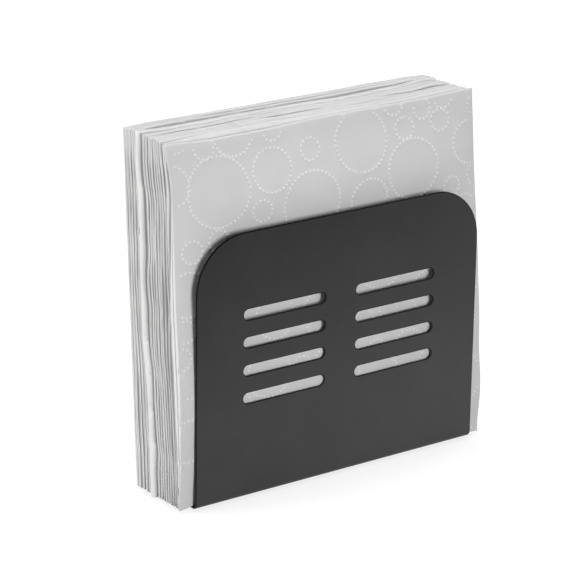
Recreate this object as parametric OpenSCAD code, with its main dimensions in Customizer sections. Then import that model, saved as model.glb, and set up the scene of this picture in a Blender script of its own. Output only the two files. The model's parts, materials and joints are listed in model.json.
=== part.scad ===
// Upright napkin holder: a U folded from one coated steel sheet, filled with quarter-folded paper napkins.
// Millimetres, +Z up, front wall towards -Y, origin on the table under the middle of the base.

/* [Holder sheet] */
// Width of the base and of both walls
holder_w = 155; // [120:1:200]
// Height of a wall along its slope, from the underside of the base
wall_h = 124; // [95:0.5:160]
// Thickness of the steel sheet
sheet_t = 1; // [0.8:0.1:2]
// Inside radius of the two bends at the foot of the walls
bend_r = 1.6; // [0.8:0.1:3]
// Outward lean of each wall in degrees
wall_lean = 1.3; // [0:0.1:4]
// Radius of the upper corners of the walls
corner_r = 25; // [5:1:40]

/* [Slots] */
// Length of a slot over its round ends
slot_l = 44; // [20:1:50]
// Width of a slot
slot_w = 5; // [3:0.5:8]
// Rows of slots in a wall
slot_rows = 4; // [1:1:5]
// Distance between slot rows, centre to centre
slot_pitch = 13; // [10:0.5:16]
// Height of the middle of the lowest slot along the slope
slot_first = 47; // [25:1:55]
// Solid web between the two columns of slots
slot_web = 17; // [8:1:30]

/* [Anti-slip pads] */
// Diameter of a pad
pad_d = 10; // [6:1:14]
// Thickness of a pad
pad_t = 1; // [0.6:0.1:3]
// Distance from the end of the base to the rim of a pad
pad_end_inset = 8; // [3:1:25]
// Distance from the bend to the rim of a pad
pad_side_inset = 2; // [0.5:0.5:5]

/* [Napkins] */
// Number of napkins in the holder
napkin_count = 16; // [12:1:24]
// Side of a folded napkin
napkin_side = 165; // [125:1:200]
// Thickness of one sheet of napkin paper
leaf_t = 0.2; // [0.1:0.05:0.3]
// Distance between the four leaves of a pressed napkin, centre to centre
leaf_pitch = 0.58; // [0.45:0.01:1]
// Place of the loosely folded napkin, counted from the front
loose_place = 11; // [2:1:11]
// Distance between the four leaves of the loosely folded napkin, centre to centre
loose_pitch = 1.06; // [0.6:0.02:1.6]
// How far the fold of the loosely folded napkin stands out of the stack at the left
loose_jut = 1.3; // [0:0.1:3]
// Air between neighbouring napkins
napkin_gap = 0.25; // [0.1:0.05:0.5]
// Sideways shift of the whole stack
stack_shift = -0.6; // [-4:0.1:4]
// Largest sideways step of one napkin out of the stack
napkin_jog = 0.35; // [0:0.05:2]

/* [Clearances] */
// Between the foot of the stack and the start of a bend
bend_gap = 0.5; // [0.1:0.1:2]
// Between a napkin and what it rests on or leans against
rest_gap = 0.2; // [0.1:0.1:1]

/* [Hidden] */
$fn = 64;
SHEET_COLOR = [0.2, 0.2, 0.2];
PAD_COLOR = [0.1, 0.1, 0.1];
NAPKIN_COLOR = [0.88, 0.88, 0.87];

// Overlap of a cutting solid past the faces that it cuts
cut_margin = 1;
// Added to a radius where a round face runs into a flat one, so that the two cross cleanly
blend_margin = 0.002;
// Angle between the sideways steps of neighbouring napkins, so that no two steps look alike
jog_turn = 137.5;

bend_outer_r = bend_r + sheet_t;
base_top = pad_t + sheet_t;
bend_centre_z = base_top + bend_r;

// Leaf distance and thickness of napkin i, and depth of everything in front of it
function pitch(i) = i == loose_place ? loose_pitch : leaf_pitch;
function thick(i) = 3 * pitch(i) + leaf_t;
function depth_before(i) = i <= 1 ? 0 : depth_before(i - 1) + thick(i - 1) + napkin_gap;
stack_d = depth_before(napkin_count) + thick(napkin_count);

// The flat of the base lies between the two bend centres
flat_half = stack_d / 2 + bend_gap;
// A wall's straight part starts at its bend and ends at its top edge
wall_straight = wall_h - bend_outer_r;
// Upper inside edge of the back wall, which the stack leans against
lean_edge_y = flat_half + bend_r * cos(wall_lean) + wall_straight * sin(wall_lean);
lean_edge_z = bend_centre_z - bend_r * sin(wall_lean) + wall_straight * cos(wall_lean);
napkin_lean = atan2(lean_edge_y - rest_gap - stack_d / 2, lean_edge_z - base_top - rest_gap);

slot_x = (slot_web + slot_l) / 2;
pad_x = holder_w / 2 - pad_end_inset - pad_d / 2;
pad_y = flat_half - pad_side_inset - pad_d / 2;

function jog(i) = stack_shift + (i == loose_place ? -loose_jut : napkin_jog * sin(jog_turn * i));
function napkin_name(i) = str("napkin_", i < 10 ? "0" : "", i);

// Turns a profile drawn as (y, z) into a bar along x, centred on x = 0
module along_x(length) {
    translate([-length / 2, 0, 0])
        rotate([90, 0, 90])
            linear_extrude(length) children();
}

// Room inside a U whose bends have the given radius, up to the given height of its straight sides
module u_outline(radius, rise) {
    side_foot = [flat_half + radius * cos(wall_lean), bend_centre_z - radius * sin(wall_lean)];
    side_top = side_foot + rise * [sin(wall_lean), cos(wall_lean)];
    for (side = [0, 1]) mirror([side, 0]) {
        polygon([
            [0, bend_centre_z - radius],
            [flat_half, bend_centre_z - radius],
            side_foot,
            side_top,
            [0, side_top[1]]
        ]);
        translate([flat_half, bend_centre_z]) circle(radius + blend_margin);
    }
}

// Stadium outline of one slot
module slot_outline() {
    straight = slot_l - slot_w;
    square([straight, slot_w], center = true);
    for (side = [-1, 1]) translate([side * straight / 2, 0]) circle(d = slot_w);
}

// What is cut away beyond the round upper corner of a wall
module corner_outline() {
    difference() {
        square(corner_r + cut_margin);
        circle(corner_r + blend_margin);
    }
}

// Everything cut from one wall, drawn on the wall's own slope with its foot at z = 0
module wall_cuts() {
    rotate([90, 0, 0]) linear_extrude(sheet_t + 2 * cut_margin, center = true) {
        for (row = [0 : slot_rows - 1], side = [-1, 1])
            translate([side * slot_x, slot_first + row * slot_pitch]) slot_outline();
        for (side = [0, 1]) mirror([side, 0])
            translate([holder_w / 2 - corner_r, wall_h - corner_r]) corner_outline();
    }
}

module holder_sheet() {
    color(SHEET_COLOR) difference() {
        along_x(holder_w) difference() {
            u_outline(bend_outer_r, wall_straight);
            u_outline(bend_r, wall_straight + cut_margin);
        }
        for (side = [0, 1]) mirror([0, side, 0])
            translate([0, flat_half, bend_centre_z])
                rotate([-wall_lean, 0, 0])
                    translate([0, bend_r + sheet_t / 2, -bend_outer_r]) wall_cuts();
    }
}

module pad(side_x, side_y) {
    color(PAD_COLOR) translate([side_x * pad_x, side_y * pad_y, 0]) cylinder(d = pad_d, h = pad_t);
}

// Bar with one round end, drawn as (distance from the middle of the napkin, x)
module round_bar(middle, width, low, high) {
    translate([middle - width / 2, low]) square([width, high - low]);
    translate([middle, high]) circle(d = width);
}

// Section of half a napkin: two leaves joined by the side fold
module folded_leaves(pitch) {
    low = -napkin_side / 2;
    high = napkin_side / 2 - (pitch + leaf_t) / 2;
    difference() {
        round_bar(pitch, pitch + leaf_t, low, high);
        round_bar(pitch, pitch - leaf_t, low - cut_margin, high);
    }
}

// One napkin folded in four: the second fold runs along the top, over the first one at the side
module folded_napkin(pitch, thickness) {
    fold_z = napkin_side - thickness / 2;
    for (side = [0, 1]) mirror([0, side, 0])
        linear_extrude(fold_z) rotate(90) mirror([0, 1]) folded_leaves(pitch);
    translate([0, 0, fold_z]) rotate([90, 0, 90])
        rotate_extrude(angle = 180) folded_leaves(pitch);
}

// Napkin i the way it is turned in the stack: the front one has its side fold at the left,
// and the loose one lies with its outer fold there
module turned_napkin(i) {
    if (i == loose_place)
        translate([0, 0, napkin_side / 2]) rotate([0, -90, 0]) translate([0, 0, -napkin_side / 2])
            folded_napkin(pitch(i), thick(i));
    else
        mirror([i == 1 ? 1 : 0, 0, 0]) folded_napkin(pitch(i), thick(i));
}

// Napkin i in its place, leaning on the back wall with the rest of the stack
module napkin(i) {
    foot_y = (depth_before(i) + thick(i) / 2 - stack_d / 2) / cos(napkin_lean);
    foot_z = base_top + rest_gap + thick(i) / 2 * sin(napkin_lean);
    color(NAPKIN_COLOR)
        translate([jog(i), foot_y, foot_z])
            rotate([-napkin_lean, 0, 0]) turned_napkin(i);
}

holder_sheet();
pad(-1, -1);  // pad_front_left
pad(1, -1);  // pad_front_right
pad(-1, 1);  // pad_back_left
pad(1, 1);  // pad_back_right
for (i = [1 : napkin_count]) napkin(i);
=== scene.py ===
"""Looks of an upright napkin holder: coated sheet, rubber pads, sixteen folded napkins, light and camera."""
import json
import math
import random

import bpy
import numpy as np
from mathutils import Euler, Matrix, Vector
from mathutils.geometry import delaunay_2d_cdt


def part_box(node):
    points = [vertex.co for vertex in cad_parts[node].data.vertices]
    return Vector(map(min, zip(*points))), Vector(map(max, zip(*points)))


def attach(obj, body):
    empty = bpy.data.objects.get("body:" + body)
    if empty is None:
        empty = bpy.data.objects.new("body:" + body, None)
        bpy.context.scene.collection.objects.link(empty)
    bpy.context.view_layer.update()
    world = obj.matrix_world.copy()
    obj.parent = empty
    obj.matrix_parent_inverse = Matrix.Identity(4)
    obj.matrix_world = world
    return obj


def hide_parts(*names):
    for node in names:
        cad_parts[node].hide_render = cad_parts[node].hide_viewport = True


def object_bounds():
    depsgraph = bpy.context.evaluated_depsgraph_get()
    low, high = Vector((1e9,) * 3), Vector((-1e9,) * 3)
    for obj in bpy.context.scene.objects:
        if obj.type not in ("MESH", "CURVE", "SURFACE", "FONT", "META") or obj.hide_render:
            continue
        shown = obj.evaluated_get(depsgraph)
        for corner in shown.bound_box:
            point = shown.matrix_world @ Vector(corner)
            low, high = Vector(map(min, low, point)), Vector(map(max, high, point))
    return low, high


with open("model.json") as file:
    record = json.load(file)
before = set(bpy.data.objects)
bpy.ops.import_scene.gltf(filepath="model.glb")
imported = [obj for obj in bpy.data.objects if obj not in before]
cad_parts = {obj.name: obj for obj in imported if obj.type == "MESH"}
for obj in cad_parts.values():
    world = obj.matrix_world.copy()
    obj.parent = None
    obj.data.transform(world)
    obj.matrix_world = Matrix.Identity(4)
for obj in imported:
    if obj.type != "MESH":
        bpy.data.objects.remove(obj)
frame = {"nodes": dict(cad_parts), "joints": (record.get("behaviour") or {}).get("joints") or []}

CAD_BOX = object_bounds()
MM = 0.001

# Camera of the photograph, found from the corners of the sheet and of the stack
IMAGE_PX = 570
FOCAL_PX = 2751.7
SENSOR_MM = 36
CAMERA_AZIMUTH = -35.629
CAMERA_ELEVATION = 18.108
CAMERA_PLACE = (-0.6966, -0.9521, 0.4706)

# Light levels, where a strength of 1 is white. The floor glows less near the object, where the lamps light
# it as well: its glow grows between a near and a far distance in metres.
SKY_LEVEL = 0.05
SKY_SEEN = 1.0
FLOOR_GLOW = 0.78
FAR_GLOW = 1.0
FLOOR_NEAR = 0.35
FLOOR_FAR = 1.2
FLOOR_HALF = 4.0
# Soft lamps as azimuth, elevation, distance and diameter in metres, and watts
LAMPS = {
    "front_lamp": (-12, 12.5, 1.4, 0.5, 11.1),
    "left_lamp": (-113, 12, 1.5, 0.6, 18.6),
    "top_lamp": (0, 91, 1.5, 0.7, 14.0),
    "right_lamp": (108, 12, 1.5, 0.6, 11.0),
    "back_lamp": (150, 9, 1.5, 0.5, 8.0),
}

# Powder coat on the faces and on the cut edges: its darkest and lightest colour, its least and most
# roughness, and the strength of its gloss. The cut edges are a darker copy of the coat without gloss:
# painted shade along them.
COAT_DARK = (0.0078, 0.007, 0.0071)
COAT_LIGHT = (0.0595, 0.057, 0.0575)
COAT_ROUGH = (0.42, 0.5)
COAT_GLOSS = 0.27
EDGE_SHADE_DARK = (0.002, 0.002, 0.002)
EDGE_SHADE_LIGHT = (0.042, 0.042, 0.042)
EDGE_ROUGH = (0.6, 0.7)
EDGE_GLOSS = 0.0
# Paleness of the coat, from 0 at its darkest to 1 at its lightest: a painted sheen, a reflection that is
# palest at the foot and darkest at the top of the walls, its painted sheen towards the right, its own tone
# in clouds, and the places in metres between which it changes
PAINTED_SHEEN_FOOT = 0.8
PAINTED_SHEEN_TOP = 0.08
PAINTED_SHEEN_RIGHT = 0.15
PALE_CLOUD = 0.08
PAINTED_SHEEN_FOOT_Z = 0.04
PAINTED_SHEEN_TOP_Z = 0.128
PAINTED_SHEEN_RIGHT_X = 0.07
# Colours and roughness of the pads, the napkins and the floor
RUBBER_CLEAN = (0.012, 0.012, 0.012)
RUBBER_DUSTY = (0.03, 0.029, 0.028)
RUBBER_ROUGH = (0.75, 0.95)
TISSUE_GREY = (0.73, 0.73, 0.728)
TISSUE_WHITE = (0.765, 0.765, 0.763)
# Colour of the dots, paler than the paper: a painted highlight of light on the raised dots
TISSUE_DOT_HIGHLIGHT = (0.93, 0.93, 0.93, 1)
TISSUE_ROUGH = 0.95
TISSUE_GLOSS = 0.15
CREPE_STRETCH = (1.0, 1.0, 3.2)
FLOOR_DARK = (0.27, 0.27, 0.27)
FLOOR_LIGHT = (0.29, 0.29, 0.29)
WHITE = (1, 1, 1, 1)
# Values between which most of a noise lies
NOISE_LOW = 0.3
NOISE_HIGH = 0.7
# Sockets of a mix node that mixes colours
MIX_SHARE = 0
MIX_FIRST = 6
MIX_SECOND = 7
MIX_RESULT = 2

# Edges of the holder: widths of their rounding and distance of points that are one, in metres, and angles in
# degrees up to which faces count as one flat face and from which edges count as sharp, the last for paper
SHEET_ROUNDING = 0.4 * MM
PAD_ROUNDING = 0.25 * MM
SAME_POINT = 0.000002
FLAT_ANGLE = 0.5
SHARP_ANGLE = 50
PAPER_SHARP_ANGLE = 60

# Napkins, in millimetres and numbered from 0 at the front. Depth runs from the front of the stack to its
# back. Each napkin has four leaves.
NAPKINS = sorted(name for name in frame["nodes"] if name.startswith("napkin_"))
COUNT = len(NAPKINS)
FRONT = NAPKINS.index("napkin_01")
SECOND = FRONT + 1
LOOSE = NAPKINS.index("napkin_11")
LIFT_AXIS = frame["joints"][0]["axis"]
LEAN = math.atan2(LIFT_AXIS[1], LIFT_AXIS[2])
FRONT_LOW, FRONT_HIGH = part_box(NAPKINS[FRONT])
SIDE = (FRONT_HIGH.x - FRONT_LOW.x) / MM
STACK_BASE = FRONT_LOW.z / MM
STACK_DEPTH = -2 * FRONT_LOW.y / MM * math.cos(LEAN)
LEAVES = 4
LEAF = 0.34

# Flat sheet of one napkin: half its side, the halves of its two fold strips, the points across such a strip,
# the spacing of the other points, and the distance within which two points are one
HALF = SIDE
SIDE_FOLD = 0.5
TOP_FOLD = 1.0
FOLD_POINTS = 7
POINT_STEP = 3.5
SAME_SHEET_POINT = 1e-5

# Embossed rings of dots. Those that the photograph shows, as distance from the left fold of the front
# napkin, height above its foot, and radius; the others are strewn between them.
SEEN_RINGS = (
    (-0.5, 146, 9.5), (7, 97.5, 10), (4.5, 81.5, 5), (5, 46.5, 5), (5, 31.5, 9.5), (9, 116, 5),
    (22.5, 119, 5), (18.5, 161, 5), (23.5, 141, 16), (34, 165.5, 10), (45.5, 129, 5), (52, 146.5, 10),
    (72, 127.5, 15), (73, 152, 5), (101, 151, 14), (103.5, 123.5, 10), (120.5, 164.5, 5), (125.5, 153, 5),
    (128.5, 134, 14), (136, 160, 4.5), (145.5, 153.5, 5), (148, 163.5, 5), (150.5, 121.5, 4.5),
    (158, 110.5, 6), (162, 140.5, 10), (165, 125, 5), (168, 157, 6),
    (45.5, 54, 11), (50.5, 79, 10), (63, 53.5, 5), (75.5, 76, 10), (75.5, 55, 5), (98.5, 68.5, 5),
    (104.5, 53, 5), (109.5, 95, 14), (112.5, 70.5, 5), (123, 50, 9), (136.5, 74.5, 10),
)
RING_SEED = 11
RING_RADII = (15, 10, 5)
RING_TRIES = 260
RING_CLEAR = 2.4
DOT_STEP = 2.2
DOT_RADIUS = 0.76
DOT_HEIGHT = 0.48
DOT_CORNERS = 6
# Room of a dot that other points keep clear of, as a share of its radius
DOT_ROOM = 1.6
# Rings of a dot as shares of its radius, of its height and of its paler tone, a painted highlight
DOT_RINGS = ((0.5, 0.72, 0.9), (1.0, 0.0, 0.0), (1.3, 0.0, 0.0))
EDGE_CLEAR = 1.6
# Point attribute that carries the painted highlight of the dots
DOT_PAINTED_HIGHLIGHT = "dot_painted_highlight"

# Thickness of a pressed napkin inside the stack and at its sides, of the loose one inside the stack and at
# its fold, and what the loose one's fold gains at its foot and the second napkin along its top
PRESSED = 1.74
PRESSED_END = 1.3
PUFFED = 3.0
PUFFED_END = 3.6
PUFFED_FOOT = 1.8
SECOND_TOP = 1.6
# Air behind a napkin inside the stack, at its sides, and at the sides of the group behind the loose napkin
AIR = 0.46
AIR_END = 1.3
BACK_AIR_END = 0.52 * AIR_END
LEAST_AIR = 0.04
# How uneven napkins and air are, as shares of them, how much less their waves change across than up, and how
# much of the air is closed along the top
PRESSED_WAVE = 0.03
PRESSED_ACROSS = 0.3
AIR_WAVE = 0.45
AIR_ACROSS = 0.25
AIR_PINCH = 0.4
AIR_CLOSED = 0.6
# Heights at which embossed rows press all the cut edges together, and how far that reaches. From napkin to
# napkin they step down, and after a full cycle start again.
PINCHES = ((22, 5), (58, 6), (88, 4), (112, 7), (139, 5))
PINCH_STEP = 1.5
PINCH_CYCLE = 4
# Gaps that stand open along the top: the napkin in front of the gap, where it starts and ends, its extra air
TOP_GAPS = (
    (FRONT, -84, -18, 0.9),
    (FRONT, 34, 84, 0.8),
    (3, 22, 52, 1.8),
    (5, -24, 4, 2.6),
    (5, 40, 80, 2.4),
    (7, -82, -28, 2.5),
    (LOOSE, -78, 66, 4.6),
    (LOOSE, -78, -44, 2.4),
    (LOOSE, 16, 52, 2.4),
    (LOOSE + 2, -50, 60, 1.6),
)
TOP_GAP_BLEND = 7
# Gaps that stand open at the left side, with the heights between which they do
LEFT_GAPS = (
    (FRONT, -20, 150, 0.5),
    (SECOND, 138, 190, 1.1),
    (2, 60, 130, 0.8),
    (3, 40, 110, 0.6),
    (LOOSE - 1, -20, 90, 1.1),
    (LOOSE - 1, 90, 190, 2.1),
    (LOOSE + 2, -20, 190, 0.5),
    (LOOSE + 3, -20, 50, 0.6),
)
LEFT_GAP_BLEND = 14
# Extra room of the group behind the loose napkin at its left, as shares: everywhere, at its foot and in its
# upper part, and what it loses along the top
BACK_ROOM = 0.05
BACK_FOOT_ROOM = 0.65
BACK_UPPER_ROOM = 0.3
BACK_TOP_LOSS = 0.4

# Stretches along x or z over which something sets in, as where it starts and where it is full
SIDES_X = (52, 80)
TOP_Z = (150, 160)
LOOSE_FOLD_X = (-60, -79)
LOOSE_FOOT_Z = (110, 50)
LEFT_GAP_X = (-64, -82)
BACK_ROOM_X = (10, -70)
BACK_UPPER_Z = (115, 150)
BACK_TOP_LOSS_X = (-84, -44)

# Cut edges: how far inside them the leaves start to differ, the steps between leaves and how these change
# from leaf to leaf and from napkin to napkin, the waves along the side and the foot, how far apart the
# leaves' waves are taken, and how nearly flush the napkins are made
RAGGED_REACH = 30
LEAF_STEP = 0.1
LEAF_PHASE = 2.3
NAPKIN_PHASE = 1.9
SIDE_WAVE = 0.1
FOOT_WAVE = 0.22
LEAVES_APART = 9.0
FLUSH_SHARE = 0.75

# How far the top of a napkin lies below its full height: at both corners, more at the left corner of the
# second napkin, for the loose napkin and the one behind it, and for the others at the front, at the back and
# in long and short waves
CORNER_DROP = 0.4
SECOND_CORNER_DROP = 0.2
LOOSE_DROP = -0.2
BEHIND_LOOSE_DROP = 0.2
FIRST_DROP = 0.35
BACK_DROP = 0.3
LONG_WAVE_DROP = 0.2
SHORT_WAVE_DROP = 0.1
CORNER_X = (70, 83)
LEFT_CORNER_X = (-72, -83)
# The same for the front napkin: at its right corner, more away from it, and in a dip between the middle and
# the left corner
FRONT_LEAST_DROP = 0.2
FRONT_DROP = 0.8
FRONT_DIP = 1.0
FRONT_DROP_X = (84, 50)
FRONT_DIP_RIGHT_X = (0, -40)
FRONT_DIP_LEFT_X = (-84, -60)
# Sag of the lower corners, the height from which a dropping top draws its napkin down, and the slope of the
# second napkin's front leaf along its top
FOOT_SAG = 1.1
FOOT_SAG_X = (74, 83)
FOOT_SAG_END_Z = (0, 60)
DROP_START_Z = 90
SECOND_SLOPE = 1.4

# Sideways drift of the front napkin: its shift at the foot, its turn to the left up to the top, how far its
# right edge stands out everywhere, lower down and in waves, and the bend of its left edge, which stands in
# under the upper corner, out at the top and out in the lower part
FOOT_SHIFT = 0.8
TOP_TURN = 1.8
RIGHT_SHIFT = 0.9
RIGHT_LOW_SHIFT = 0.6
RIGHT_WAVE = 0.4
RIGHT_X = (30, 83)
RIGHT_HIGH_Z = (60, 130)
LEFT_IN = 1.1
LEFT_IN_Z = 142
LEFT_IN_REACH = 13
LEFT_TOP_OUT = 1.0
LEFT_TOP_Z = (152, SIDE)
LEFT_LOW_OUT = 2.0
LEFT_LOW_Z = (128, 88)
LEFT_X = (-40, -80)
# Forward drift of the front napkin: of the whole napkin and more of its front leaf, which also has a belly
# behind the slots, swells above the wall in two steps and leans forward at its left edge
NAPKIN_FORWARD = 0.7
LEAF_FORWARD = 1.5
FORWARD_LOW_Z = (0, 22)
FORWARD_HIGH_Z = (75, SIDE - 5)
MIDDLE_HALF = 80
BELLY = 2.6
BELLY_Z = 54
BELLY_REACH = 24
LOW_SWELLING = 2.2
LOW_SWELLING_Z = (90, 112)
HIGH_SWELLING = 1.4
HIGH_SWELLING_Z = (114, 136)
SWELLING_END_Z = (134, SIDE)
EDGE_LEAN = 2.0
EDGE_LEAN_X = (-50, -74)
EDGE_LEAN_LOW_Z = (15, 55)
EDGE_LEAN_HIGH_Z = (85, 140)

# Waves of a ripple: their number, how their directions and phases change with the seed and from wave to
# wave, their length as a share of the given one, how that grows, and what their sum is divided by
RIPPLE_WAVES = 4
SEED_TURN = 1.7
WAVE_TURN = 2.1
SEED_PHASE = 2.9
WAVE_PHASE = 1.3
WAVE_SHARE = 0.7
WAVE_SHARE_STEP = 0.25
RIPPLE_SUM = 2.6


def smooth_step(low, high, value):
    """0 up to low and 1 from high, or the other way round where high is the lesser one."""
    share = np.clip((value - low) / (high - low), 0, 1)
    return share * share * (3 - 2 * share)


def window(value, start, end, blend):
    """1 between start and end, 0 away from them."""
    return smooth_step(start - blend, start + blend, value) * smooth_step(end + blend, end - blend, value)


def hump(value, middle, reach):
    """1 at the middle, fading away beyond the reach."""
    return np.exp(-((value - middle) / reach) ** 2)


def ripple(across, up, seed, length):
    """Smooth wandering between about -1 and 1, in waves of about the given length."""
    total = np.zeros_like(across)
    for k in range(RIPPLE_WAVES):
        turn = SEED_TURN * seed + WAVE_TURN * k
        wave = 2 * math.pi / (length * (WAVE_SHARE + WAVE_SHARE_STEP * k))
        along = across * math.cos(turn) + up * math.sin(turn)
        total += np.sin(wave * along + SEED_PHASE * seed + WAVE_PHASE * k)
    return total / RIPPLE_SUM


def around(number):
    """Directions spread evenly around a circle."""
    angles = 2 * math.pi * np.arange(number) / number
    return np.column_stack([np.cos(angles), np.sin(angles)])


def add_mesh(name, points, faces):
    mesh = bpy.data.meshes.new(name)
    mesh.from_pydata(points, [], faces)
    mesh.update()
    piece = bpy.data.objects.new(name, mesh)
    bpy.context.scene.collection.objects.link(piece)
    return piece


# Materials

def new_material(name):
    """A material with nodes, its node tree and its shader."""
    material = bpy.data.materials.new(name)
    material.use_nodes = True
    tree = material.node_tree
    return material, tree, tree.nodes["Principled BSDF"]


def add_node(tree, kind, inputs=(), **properties):
    """A node with the given properties, and with inputs given as pairs of socket and value."""
    node = tree.nodes.new(kind)
    for socket, value in inputs:
        node.inputs[socket].default_value = value
    for key, value in properties.items():
        setattr(node, key, value)
    return node


def calculate(tree, operation, first, second):
    """The sum, product or greater one of two numbers."""
    node = add_node(tree, "ShaderNodeMath", operation=operation)
    tree.links.new(first, node.inputs[0])
    tree.links.new(second, node.inputs[1])
    return node.outputs[0]


def noise(tree, place, size, detail=3.0, roughness=0.55):
    """Noise with patches of about the given size in metres."""
    inputs = [("Scale", 1 / size), ("Detail", detail), ("Roughness", roughness)]
    node = add_node(tree, "ShaderNodeTexNoise", inputs=inputs)
    tree.links.new(place, node.inputs["Vector"])
    return node.outputs["Fac"]


def ramp(tree, source, low, high, start=NOISE_LOW, end=NOISE_HIGH):
    """A colour that runs from low to high while the source runs from start to end."""
    node = add_node(tree, "ShaderNodeValToRGB")
    for element, position, colour in zip(node.color_ramp.elements, (start, end), (low, high)):
        element.position = position
        element.color = (*colour, 1)
    tree.links.new(source, node.inputs["Fac"])
    return node.outputs["Color"]


def spread(tree, source, low, high, start=NOISE_LOW, end=NOISE_HIGH):
    """A number that runs from low to high while the source runs from start to end."""
    inputs = [("From Min", start), ("From Max", end), ("To Min", low), ("To Max", high)]
    node = add_node(tree, "ShaderNodeMapRange", inputs=inputs)
    tree.links.new(source, node.inputs["Value"])
    return node.outputs["Result"]


def bump(tree, source, height, before=None):
    """A surface normal that follows the source, up to a height in metres, on top of an earlier one."""
    node = add_node(tree, "ShaderNodeBump", inputs=[("Distance", height)])
    tree.links.new(source, node.inputs["Height"])
    if before:
        tree.links.new(before, node.inputs["Normal"])
    return node.outputs["Normal"]


def object_place(tree):
    return add_node(tree, "ShaderNodeTexCoord").outputs["Object"]


def coat_painted_sheen_and_tone(tree, place):
    """How pale the coat is: a painted sheen, paler towards its foot and its right, and its own tone in faint
    clouds.
    """
    axes = add_node(tree, "ShaderNodeSeparateXYZ")
    tree.links.new(place, axes.inputs["Vector"])
    # Painted sheen: paler towards the foot and darker at the top of the walls, and paler towards the right
    foot = spread(tree, axes.outputs["Z"], PAINTED_SHEEN_FOOT, PAINTED_SHEEN_TOP, start=PAINTED_SHEEN_FOOT_Z, end=PAINTED_SHEEN_TOP_Z)
    right = spread(tree, axes.outputs["X"], -PAINTED_SHEEN_RIGHT, PAINTED_SHEEN_RIGHT, start=-PAINTED_SHEEN_RIGHT_X, end=PAINTED_SHEEN_RIGHT_X)
    # The coat's own tone, in faint clouds
    cloud = spread(tree, noise(tree, place, size=0.03, detail=4), -PALE_CLOUD, PALE_CLOUD)
    return calculate(tree, "ADD", calculate(tree, "ADD", foot, right), cloud)


def coat_material(name, dark, light, rough, gloss):
    """Satin powder coat: black with a painted sheen that pales it to its lower right, a fine orange peel and
    an uneven gloss from its varying roughness.
    """
    material, tree, shader = new_material(name)
    shader.inputs["Specular IOR Level"].default_value = gloss
    place = object_place(tree)
    paleness = coat_painted_sheen_and_tone(tree, place)
    peel = noise(tree, place, size=0.0011, detail=2)
    grains = noise(tree, place, size=0.0003, detail=1)
    # Painted sheen: the coat's colour pales with it towards the foot and the right
    tree.links.new(ramp(tree, paleness, dark, light, start=0, end=1), shader.inputs["Base Color"])
    tree.links.new(spread(tree, peel, *rough), shader.inputs["Roughness"])
    peel_normal = bump(tree, peel, height=0.00004)
    tree.links.new(bump(tree, grains, height=0.00001, before=peel_normal), shader.inputs["Normal"])
    return material


def rubber_material():
    """Dull black rubber with a moulded grain and a little dust."""
    material, tree, shader = new_material("rubber")
    place = object_place(tree)
    dust = noise(tree, place, size=0.004, detail=5)
    grain = noise(tree, place, size=0.0004, detail=2)
    tree.links.new(ramp(tree, dust, RUBBER_CLEAN, RUBBER_DUSTY), shader.inputs["Base Color"])
    tree.links.new(spread(tree, grain, *RUBBER_ROUGH), shader.inputs["Roughness"])
    tree.links.new(bump(tree, grain, height=0.00005), shader.inputs["Normal"])
    return material


def tissue_material():
    """Soft white tissue: short fibres, a fine crepe, faint grey patches and dots made paler as a painted
    highlight.
    """
    material, tree, shader = new_material("tissue")
    place = object_place(tree)
    stretch = add_node(tree, "ShaderNodeMapping", inputs=[("Scale", CREPE_STRETCH)])
    tree.links.new(place, stretch.inputs["Vector"])
    crepe = noise(tree, stretch.outputs["Vector"], size=0.0016, detail=4, roughness=0.6)
    fibres = noise(tree, place, size=0.00035, detail=2)
    patches = noise(tree, place, size=0.02, detail=4)
    paper = ramp(tree, patches, TISSUE_GREY, TISSUE_WHITE)
    # Painted highlight: on the dots the paper is lightened towards the dot colour
    pale = add_node(tree, "ShaderNodeMix", data_type="RGBA", inputs=[(MIX_SECOND, TISSUE_DOT_HIGHLIGHT)])
    tone = add_node(tree, "ShaderNodeAttribute", attribute_name=DOT_PAINTED_HIGHLIGHT)
    tree.links.new(tone.outputs["Fac"], pale.inputs[MIX_SHARE])
    tree.links.new(paper, pale.inputs[MIX_FIRST])
    tree.links.new(pale.outputs[MIX_RESULT], shader.inputs["Base Color"])
    shader.inputs["Roughness"].default_value = TISSUE_ROUGH
    shader.inputs["Specular IOR Level"].default_value = TISSUE_GLOSS
    crepe_normal = bump(tree, crepe, height=0.00005)
    tree.links.new(bump(tree, fibres, height=0.00002, before=crepe_normal), shader.inputs["Normal"])
    return material


# Flat sheet of a napkin, the same for all of them

def sheet_lines(fold_half):
    """Places of the points along one side of the flat sheet: close together in the fold, even elsewhere."""
    cells = round((HALF - fold_half) / POINT_STEP)
    outside = np.linspace(fold_half, HALF, cells + 1)[1:]
    inside = np.linspace(-fold_half, fold_half, FOLD_POINTS)
    return np.concatenate([-outside[::-1], inside, outside])


def sheet_grid():
    """Points of the flat sheet without its dots, and the numbers of those along its rim, in order."""
    across, along = sheet_lines(SIDE_FOLD), sheet_lines(TOP_FOLD)
    columns, rows = len(across), len(along)
    grid = np.array([(u, v) for v in along for u in across])
    low = np.arange(columns)
    high = low + (rows - 1) * columns
    left = np.arange(rows) * columns
    right = left + columns - 1
    return grid, np.concatenate([low, right[1:], high[::-1][1:], left[::-1][1:-1]])


def ring_layout():
    """Centres and radii of rings over the outer half of the sheet, the large ones strewn first."""
    dice = random.Random(RING_SEED)
    rings = [(np.array([across, height - SIDE]), radius) for across, height, radius in SEEN_RINGS]
    for radius in RING_RADII:
        for _ in range(RING_TRIES):
            centre = np.array([dice.uniform(0, HALF), dice.uniform(-HALF, HALF)])
            if all(np.hypot(*(centre - other)) > radius + size + RING_CLEAR for other, size in rings):
                rings.append((centre, radius))
    return rings


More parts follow.
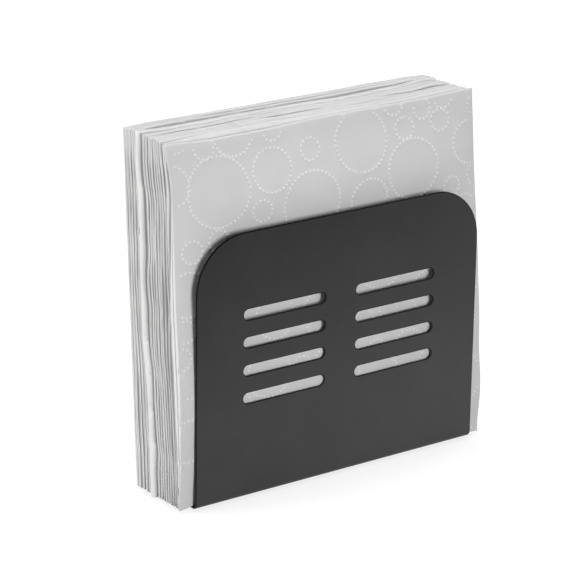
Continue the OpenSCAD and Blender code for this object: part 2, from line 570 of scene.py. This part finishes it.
def dot_centres():
    """Every dot that lies on the outer half of the sheet, clear of its folds and edges."""
    dots = []
    for centre, radius in ring_layout():
        number = round(2 * math.pi * radius / DOT_STEP)
        dots.append(centre + radius * around(number))
    dots = np.concatenate(dots)
    across, along = dots[:, 0], np.abs(dots[:, 1])
    kept = (across > SIDE_FOLD + EDGE_CLEAR) & (across < HALF - EDGE_CLEAR)
    kept &= (along > TOP_FOLD + EDGE_CLEAR) & (along < HALF - EDGE_CLEAR)
    return dots[kept]


def clear_of_dots(grid, dots):
    """True for the points that lie outside the room of every dot."""
    nearest = np.full(len(grid), np.inf)
    for dot in dots:
        nearest = np.minimum(nearest, np.hypot(*(grid - dot).T))
    return nearest > DOT_ROOM * DOT_RADIUS


def embossed_points(plain, dots):
    """Points of the sheet's outer side, plain ones first, each one's height and its share of the painted
    highlight on a dot.
    """
    points = [plain, dots]
    heights = [np.zeros(len(plain)), np.full(len(dots), DOT_HEIGHT)]
    tones = [np.zeros(len(plain)), np.ones(len(dots))]
    for reach, rise, paleness in DOT_RINGS:
        ring = (dots[:, None] + reach * DOT_RADIUS * around(DOT_CORNERS)).reshape(-1, 2)
        points.append(ring)
        heights.append(np.full(len(ring), rise * DOT_HEIGHT))
        tones.append(np.full(len(ring), paleness))
    return np.concatenate(points), np.concatenate(heights), np.concatenate(tones)


def triangulate(points):
    """Triangles between flat points, as the numbers of those points."""
    places = [tuple(point) for point in points]
    fill_outline = 0
    _, _, faces, origins, _, _ = delaunay_2d_cdt(places, [], [], fill_outline, SAME_SHEET_POINT)
    first_origin = np.array([origin[0] for origin in origins])
    return first_origin[np.array(faces)]


def rim_faces(outer_rim, inner_rim):
    """Triangles along the cut edge, between the rims of the sheet's two sides."""
    next_outer, next_inner = np.roll(outer_rim, -1), np.roll(inner_rim, -1)
    return np.concatenate([
        np.column_stack([outer_rim, inner_rim, next_inner]),
        np.column_stack([outer_rim, next_inner, next_outer]),
    ])


def flat_sheet():
    """Points of both sides of the flat sheet, each one's side, height and share of the painted highlight on
    a dot, and the faces.
    """
    grid, rim = sheet_grid()
    dots = dot_centres()
    free = clear_of_dots(grid, dots)
    free[rim] = True
    free_number = np.cumsum(free) - 1
    outer, outer_heights, outer_tones = embossed_points(grid[free], dots)
    flat = np.zeros(len(grid))

    points = np.concatenate([outer, grid])
    sides = np.concatenate([np.full(len(outer), 1.0), np.full(len(grid), -1.0)])
    heights = np.concatenate([outer_heights, flat])
    tones = np.concatenate([outer_tones, flat])
    faces = np.concatenate([
        triangulate(outer),
        triangulate(grid)[:, ::-1] + len(outer),
        rim_faces(free_number[rim], rim + len(outer)),
    ])
    return points, sides, heights, tones, faces


# The stack: how napkins and air share its depth

def pinch(z, i):
    """1 where embossed rows press the cut edges of napkin i together, 0 between them."""
    height = z + PINCH_STEP * i % PINCH_CYCLE
    return np.clip(sum(hump(height, middle, reach) for middle, reach in PINCHES), 0, 1)


def at_end(x):
    """0 inside the stack, 1 at its two sides."""
    return smooth_step(*SIDES_X, np.abs(x))


def at_top(z):
    """0 inside the stack, 1 along its top."""
    return smooth_step(*TOP_Z, z)


def solid_depth(i, x, z):
    """Thickness of napkin i: pressed at the sides, apart from the loose one, which swells to its fold
    and most at the foot of it."""
    if i == LOOSE:
        swelling = PUFFED_END - PUFFED + PUFFED_FOOT * smooth_step(*LOOSE_FOOT_Z, z)
        return PUFFED + swelling * smooth_step(*LOOSE_FOLD_X, x)
    pressed = PRESSED + (PRESSED_END - PRESSED) * at_end(x) * (1 - at_top(z))
    if i == SECOND:
        pressed = pressed + SECOND_TOP * at_top(z)
    return pressed * (1 + PRESSED_WAVE * ripple(PRESSED_ACROSS * x, z, seed=i + 0.5, length=60))


def air_depth(i, x, z):
    """Air behind napkin i: even inside the stack, uneven at the sides and mostly closed along the top."""
    waves = AIR_WAVE * ripple(AIR_ACROSS * x, z, seed=1.3 * i + 0.2, length=42)
    uneven = waves - AIR_PINCH * pinch(z, i)
    air_end = AIR_END if i <= LOOSE else BACK_AIR_END
    air = AIR + at_end(x) * (air_end * (1 + uneven) - AIR)
    air = air * (1 - AIR_CLOSED * at_top(z))
    for front, start, end, extra in TOP_GAPS:
        if front == i:
            air = air + extra * at_top(z) * window(x, start, end, TOP_GAP_BLEND)
    for front, start, end, extra in LEFT_GAPS:
        if front == i:
            air = air + extra * smooth_step(*LEFT_GAP_X, x) * window(z, start, end, LEFT_GAP_BLEND)
    return np.maximum(air, LEAST_AIR)


def looseness(i, x, z):
    """How many times the room of an even stack napkin i takes: the back ones spread at their left."""
    if i <= LOOSE:
        return 1.0
    extra = BACK_ROOM + BACK_FOOT_ROOM * (1 - z / SIDE) + BACK_UPPER_ROOM * smooth_step(*BACK_UPPER_Z, z)
    extra = extra - BACK_TOP_LOSS * at_top(z) * smooth_step(*BACK_TOP_LOSS_X, x)
    return 1 + extra * smooth_step(*BACK_ROOM_X, x)


def napkin_layer(i, x, z):
    """Middle depth and thickness of napkin i at points of the stack."""
    solids = [looseness(k, x, z) * solid_depth(k, x, z) for k in range(COUNT)]
    airs = [looseness(k, x, z) * air_depth(k, x, z) for k in range(COUNT - 1)]
    before = sum(solids[:i]) + sum(airs[:i])
    scale = STACK_DEPTH / (sum(solids) + sum(airs))
    return scale * (before + solids[i] / 2), scale * solids[i]


# One napkin

def fold_in_four(points, offset, thickness):
    """Sheet points folded twice, as x, depth from the middle of the napkin, and z."""
    across, along = points.T
    pitch = (thickness - LEAF) / (LEAVES - 1)
    fold_x = SIDE / 2 - (pitch + LEAF) / 2
    fold_z = SIDE - thickness / 2
    bend = math.pi / 2 * np.clip(across / SIDE_FOLD, -1, 1)
    run = np.clip((np.abs(across) - SIDE_FOLD) / (HALF - SIDE_FOLD), 0, 1)
    x = fold_x + (pitch / 2 + offset) * np.cos(bend) - run * (fold_x + SIDE / 2)
    depth = pitch + (pitch / 2 + offset) * np.sin(bend)
    wrap = math.pi / 2 * np.clip(along / TOP_FOLD, -1, 1)
    fall = np.clip((np.abs(along) - TOP_FOLD) / (HALF - TOP_FOLD), 0, 1)
    z = fold_z * (1 - fall) + depth * np.cos(wrap)
    return x, depth * np.sin(wrap), z


def napkin_middle(i):
    """Sideways place of the middle of napkin i."""
    low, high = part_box(NAPKINS[i])
    return (low.x + high.x) / 2 / MM


STACK_MIDDLE = sum(napkin_middle(i) for i in range(COUNT) if i != LOOSE) / (COUNT - 1)


def ragged_ends(i, points):
    """Small steps and waves of the cut edges of the four leaves, nearly flush with their neighbours'."""
    across, along = points.T
    leaf = np.where(across > 0, 0, 1) + np.where(along > 0, 0, 2)
    leaf_place = leaf * LEAVES_APART
    at_side = smooth_step(HALF - RAGGED_REACH, HALF, np.abs(across))
    at_foot = smooth_step(HALF - RAGGED_REACH, HALF, np.abs(along))
    step = LEAF_STEP * np.sin(LEAF_PHASE * leaf + NAPKIN_PHASE * i)
    flush = 0.0 if i in (FRONT, LOOSE) else FLUSH_SHARE * (STACK_MIDDLE - napkin_middle(i))
    side = at_side * (flush + step + SIDE_WAVE * ripple(leaf_place, along, seed=i + 0.7, length=26))
    foot = at_foot * FOOT_WAVE * (1 + ripple(across, leaf_place, seed=i + 0.4, length=24))
    return side, foot


def front_top_drop(x):
    """How far the top of the front napkin lies below its full height: least at its right corner."""
    dip = FRONT_DIP * smooth_step(*FRONT_DIP_RIGHT_X, x) * smooth_step(*FRONT_DIP_LEFT_X, x)
    return FRONT_DROP * smooth_step(*FRONT_DROP_X, x) + dip + FRONT_LEAST_DROP


def top_drop(i, x):
    """How far the top of napkin i lies below its full height: more to the back, and at the corners."""
    if i == FRONT:
        return front_top_drop(x)
    corners = CORNER_DROP * smooth_step(*CORNER_X, np.abs(x))
    if i == SECOND:
        corners = corners + SECOND_CORNER_DROP * smooth_step(*LEFT_CORNER_X, x)
    if i == LOOSE:
        return corners + LOOSE_DROP
    if i == LOOSE + 1:
        return corners + BEHIND_LOOSE_DROP
    waves = LONG_WAVE_DROP * ripple(x, 0 * x, seed=1.7 * i + 0.3, length=80)
    waves = waves + SHORT_WAVE_DROP * ripple(x, 0 * x, seed=3.1 * i + 0.9, length=16)
    return FIRST_DROP + BACK_DROP * i / (COUNT - 1) + waves + corners


def front_sideways(x, z):
    """Sideways drift of the front napkin: a little turned, wavy at its lower right, bent at its left."""
    low = 1 - smooth_step(*RIGHT_HIGH_Z, z)
    wave = RIGHT_LOW_SHIFT + RIGHT_WAVE * ripple(0 * x, z, seed=0.9, length=45)
    right = smooth_step(*RIGHT_X, x) * (RIGHT_SHIFT + low * wave)
    bent = LEFT_IN * hump(z, LEFT_IN_Z, LEFT_IN_REACH)
    bent = bent - LEFT_TOP_OUT * smooth_step(*LEFT_TOP_Z, z) - LEFT_LOW_OUT * smooth_step(*LEFT_LOW_Z, z)
    return FOOT_SHIFT - TOP_TURN * z / SIDE + right + bent * smooth_step(*LEFT_X, x)


def front_forward(x, z, share):
    """Forward drift of the front napkin, from its back leaf, where share is 0, to its front leaf, where
    share is 1: the back leaf stays near the stack and the front leaf swells."""
    loose = smooth_step(*FORWARD_LOW_Z, z) * (1 - smooth_step(*FORWARD_HIGH_Z, z))
    middle = np.clip(1 - (x / MIDDLE_HALF) ** 2, 0, 1)
    belly = BELLY * hump(z, BELLY_Z, BELLY_REACH) * middle
    swelling = LOW_SWELLING * smooth_step(*LOW_SWELLING_Z, z)
    swelling = swelling + HIGH_SWELLING * smooth_step(*HIGH_SWELLING_Z, z)
    puff = swelling * (1 - smooth_step(*SWELLING_END_Z, z)) * np.sqrt(middle)
    edge = EDGE_LEAN * smooth_step(*EDGE_LEAN_X, x) * smooth_step(*EDGE_LEAN_LOW_Z, z)
    edge = edge * (1 - smooth_step(*EDGE_LEAN_HIGH_Z, z))
    return NAPKIN_FORWARD * loose + share * (LEAF_FORWARD * loose + belly + puff + edge)


def napkin_points(i, points, sides, heights):
    """Points of napkin i in metres: folded, turned the way it lies, and shaped by its place in the stack."""
    thickness = PUFFED if i == LOOSE else PRESSED
    x, depth, z = fold_in_four(points, sides * LEAF / 2 + heights, thickness)
    side, foot = ragged_ends(i, points)
    x = x + side
    z = z + foot
    if i == FRONT:
        x = -x
    if i == LOOSE:
        x, z = SIDE / 2 - z, x + SIDE / 2
    x = x + napkin_middle(i)
    middle, room = napkin_layer(i, x, z)
    share = np.clip(0.5 - depth / thickness, 0, 1)
    depth = middle - STACK_DEPTH / 2 + depth / thickness * room
    if i == FRONT:
        depth = depth - front_forward(x, z, share)
        x = x + front_sideways(x, z)
    sag = FOOT_SAG * smooth_step(*FOOT_SAG_X, np.abs(x)) * (1 - smooth_step(*FOOT_SAG_END_Z, z))
    sag = sag + top_drop(i, x) * smooth_step(DROP_START_Z, SIDE, z)
    if i == SECOND:
        sag = sag + SECOND_SLOPE * np.clip(2 * share - 1, 0, 1) ** 2 * at_top(z)
    y = depth / math.cos(LEAN) + z * math.sin(LEAN)
    return np.column_stack([x, y, STACK_BASE + (z - sag) * math.cos(LEAN)]) * MM


def faces_outward(points, faces):
    """The faces, turned over where they would enclose a negative volume."""
    first, second, third = np.moveaxis(points[faces], 1, 0)
    volume = np.einsum("ij,ij->i", first, np.cross(second, third)).sum()
    return faces[:, ::-1] if volume < 0 else faces


def add_napkin(i, sheet, material):
    points, sides, heights, tones, faces = sheet
    placed = napkin_points(i, points, sides, heights)
    napkin = add_mesh(NAPKINS[i] + "_sheet", placed, faces_outward(placed, faces))
    napkin.data.shade_smooth()
    napkin.data.set_sharp_from_angle(angle=math.radians(PAPER_SHARP_ANGLE))
    napkin.data.materials.append(material)
    # Share of the painted highlight of the dots on each point
    napkin.data.attributes.new(DOT_PAINTED_HIGHLIGHT, "FLOAT", "POINT").data.foreach_set("value", tones)
    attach(napkin, NAPKINS[i])
    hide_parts(NAPKINS[i])


def add_napkins():
    sheet = flat_sheet()
    tissue = tissue_material()
    for i in range(COUNT):
        add_napkin(i, sheet, tissue)


# The holder: CAD nodes with rounded edges and finished surfaces

def round_edges(piece, width, segments, edge_slot=-1):
    """Joins the split faces, clears the flat ones and rounds every sharp edge."""
    weld = piece.modifiers.new("weld", "WELD")
    weld.merge_threshold = SAME_POINT
    flat = piece.modifiers.new("flat", "DECIMATE")
    flat.decimate_type = "DISSOLVE"
    flat.angle_limit = math.radians(FLAT_ANGLE)
    rounding = piece.modifiers.new("rounding", "BEVEL")
    rounding.width = width
    rounding.segments = segments
    rounding.limit_method = "ANGLE"
    rounding.angle_limit = math.radians(SHARP_ANGLE)
    rounding.use_clamp_overlap = False
    rounding.material = edge_slot
    piece.modifiers.new("normals", "WEIGHTED_NORMAL")


def finish_holder():
    sheet = frame["nodes"]["holder_sheet"]
    sheet.data.materials.clear()
    sheet.data.materials.append(coat_material("coat", COAT_DARK, COAT_LIGHT, COAT_ROUGH, COAT_GLOSS))
    # The cut edges get a darker copy of the coat without gloss: painted shade along them
    sheet.data.materials.append(coat_material("coat_edge_painted_shade", EDGE_SHADE_DARK, EDGE_SHADE_LIGHT, EDGE_ROUGH, EDGE_GLOSS))
    round_edges(sheet, SHEET_ROUNDING, segments=4, edge_slot=1)


def finish_pads():
    rubber = rubber_material()
    for name, node in frame["nodes"].items():
        if name.startswith("pad_"):
            node.data.materials.clear()
            node.data.materials.append(rubber)
            round_edges(node, PAD_ROUNDING, segments=3)


# Floor, light and camera

def seen_directly(tree):
    """1 for rays that show the background itself: from the camera, in a gloss or through a clear surface."""
    path = add_node(tree, "ShaderNodeLightPath").outputs
    either = calculate(tree, "MAXIMUM", path["Is Camera Ray"], path["Is Glossy Ray"])
    return calculate(tree, "MAXIMUM", either, path["Is Transmission Ray"])


def add_sky():
    """A dim white sky that is bright where it is seen directly."""
    world = bpy.data.worlds.new("studio")
    bpy.context.scene.world = world
    world.use_nodes = True
    tree = world.node_tree
    background = tree.nodes["Background"]
    background.inputs["Color"].default_value = WHITE
    level = spread(tree, seen_directly(tree), SKY_LEVEL, SKY_SEEN, start=0, end=1)
    tree.links.new(level, background.inputs["Strength"])


def floor_material():
    """Matt paper that shows as white, apart from the shadow on it."""
    material, tree, shader = new_material("floor")
    shader.inputs["Roughness"].default_value = 1.0
    shader.inputs["Specular IOR Level"].default_value = 0.0
    place = object_place(tree)
    patches = noise(tree, place, size=0.3)
    tree.links.new(ramp(tree, patches, FLOOR_DARK, FLOOR_LIGHT), shader.inputs["Base Color"])
    shader.inputs["Emission Color"].default_value = WHITE
    distance = add_node(tree, "ShaderNodeVectorMath", operation="LENGTH")
    tree.links.new(place, distance.inputs[0])
    level = spread(tree, distance.outputs["Value"], FLOOR_GLOW, FAR_GLOW, start=FLOOR_NEAR, end=FLOOR_FAR)
    glow = calculate(tree, "MULTIPLY", level, seen_directly(tree))
    tree.links.new(glow, shader.inputs["Emission Strength"])
    return material


def add_floor():
    corners = [(x * FLOOR_HALF, y * FLOOR_HALF, 0) for x, y in ((-1, -1), (1, -1), (1, 1), (-1, 1))]
    floor = add_mesh("floor", corners, [(0, 1, 2, 3)])
    floor.data.materials.append(floor_material())


def add_lamp(name, azimuth, elevation, distance, size, watts):
    """A round soft lamp that points at the middle of the object."""
    lamp = bpy.data.lights.new(name, "AREA")
    lamp.shape = "DISK"
    lamp.size = size
    lamp.energy = watts
    holder = bpy.data.objects.new(name, lamp)
    turn = Euler((math.radians(90 - elevation), 0, math.radians(azimuth)))
    middle = (CAD_BOX[0] + CAD_BOX[1]) / 2
    holder.rotation_euler = turn
    holder.location = middle + turn.to_matrix() @ Vector((0, 0, distance))
    bpy.context.scene.collection.objects.link(holder)


def add_lamps():
    for name, values in LAMPS.items():
        add_lamp(name, *values)


def add_camera():
    camera = bpy.data.cameras.new("camera")
    camera.sensor_width = SENSOR_MM
    camera.lens = SENSOR_MM * FOCAL_PX / IMAGE_PX
    holder = bpy.data.objects.new("camera", camera)
    holder.location = CAMERA_PLACE
    holder.rotation_euler = (math.radians(90 - CAMERA_ELEVATION), 0, math.radians(CAMERA_AZIMUTH))
    bpy.context.scene.collection.objects.link(holder)
    bpy.context.scene.camera = holder


finish_holder()
finish_pads()
add_napkins()
add_floor()
add_sky()
add_lamps()
add_camera()
bpy.context.scene.view_settings.view_transform = "Standard"
